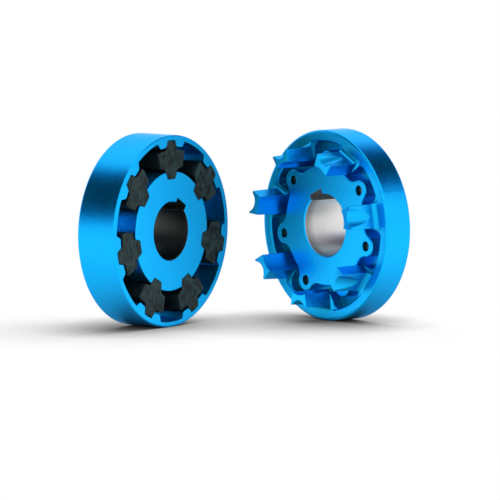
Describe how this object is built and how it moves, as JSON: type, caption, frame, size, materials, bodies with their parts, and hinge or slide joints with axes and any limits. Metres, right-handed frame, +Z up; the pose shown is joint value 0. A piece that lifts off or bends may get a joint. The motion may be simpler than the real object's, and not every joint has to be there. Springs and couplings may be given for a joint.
{
  "type": "flexible claw coupling",
  "caption": "Flexible claw coupling taken apart: a pocketed half holding rubber buffer blocks, and a half whose claws reach between them to pass torque from shaft to shaft.",
  "frame": {"origin": "on the floor, below the middle of the pair's box", "axes": "+X across the pair, +Y along the pocket half's shaft axis towards its hub's back, +Z up"},
  "size_m": [0.2626, 0.2176, 0.16],
  "materials": {
    "painted_casting": "satin",
    "rubber": "matte",
    "screw_steel": "black oxide"
  },
  "bodies": {
    "root": {"pocket_half": "painted_casting", "rubber_element_1": "rubber", "rubber_element_2": "rubber", "rubber_element_3": "rubber", "rubber_element_4": "rubber", "rubber_element_5": "rubber", "rubber_element_6": "rubber", "rubber_element_7": "rubber", "claw_ring": "painted_casting", "claw_hub": "painted_casting", "ring_screw_1": "screw_steel", "ring_screw_2": "screw_steel", "ring_screw_3": "screw_steel", "ring_screw_4": "screw_steel", "ring_screw_5": "screw_steel", "ring_screw_6": "screw_steel", "ring_screw_7": "screw_steel", "pocket_set_screw": "screw_steel", "claw_set_screw": "screw_steel"}
  },
  "joints": []
}
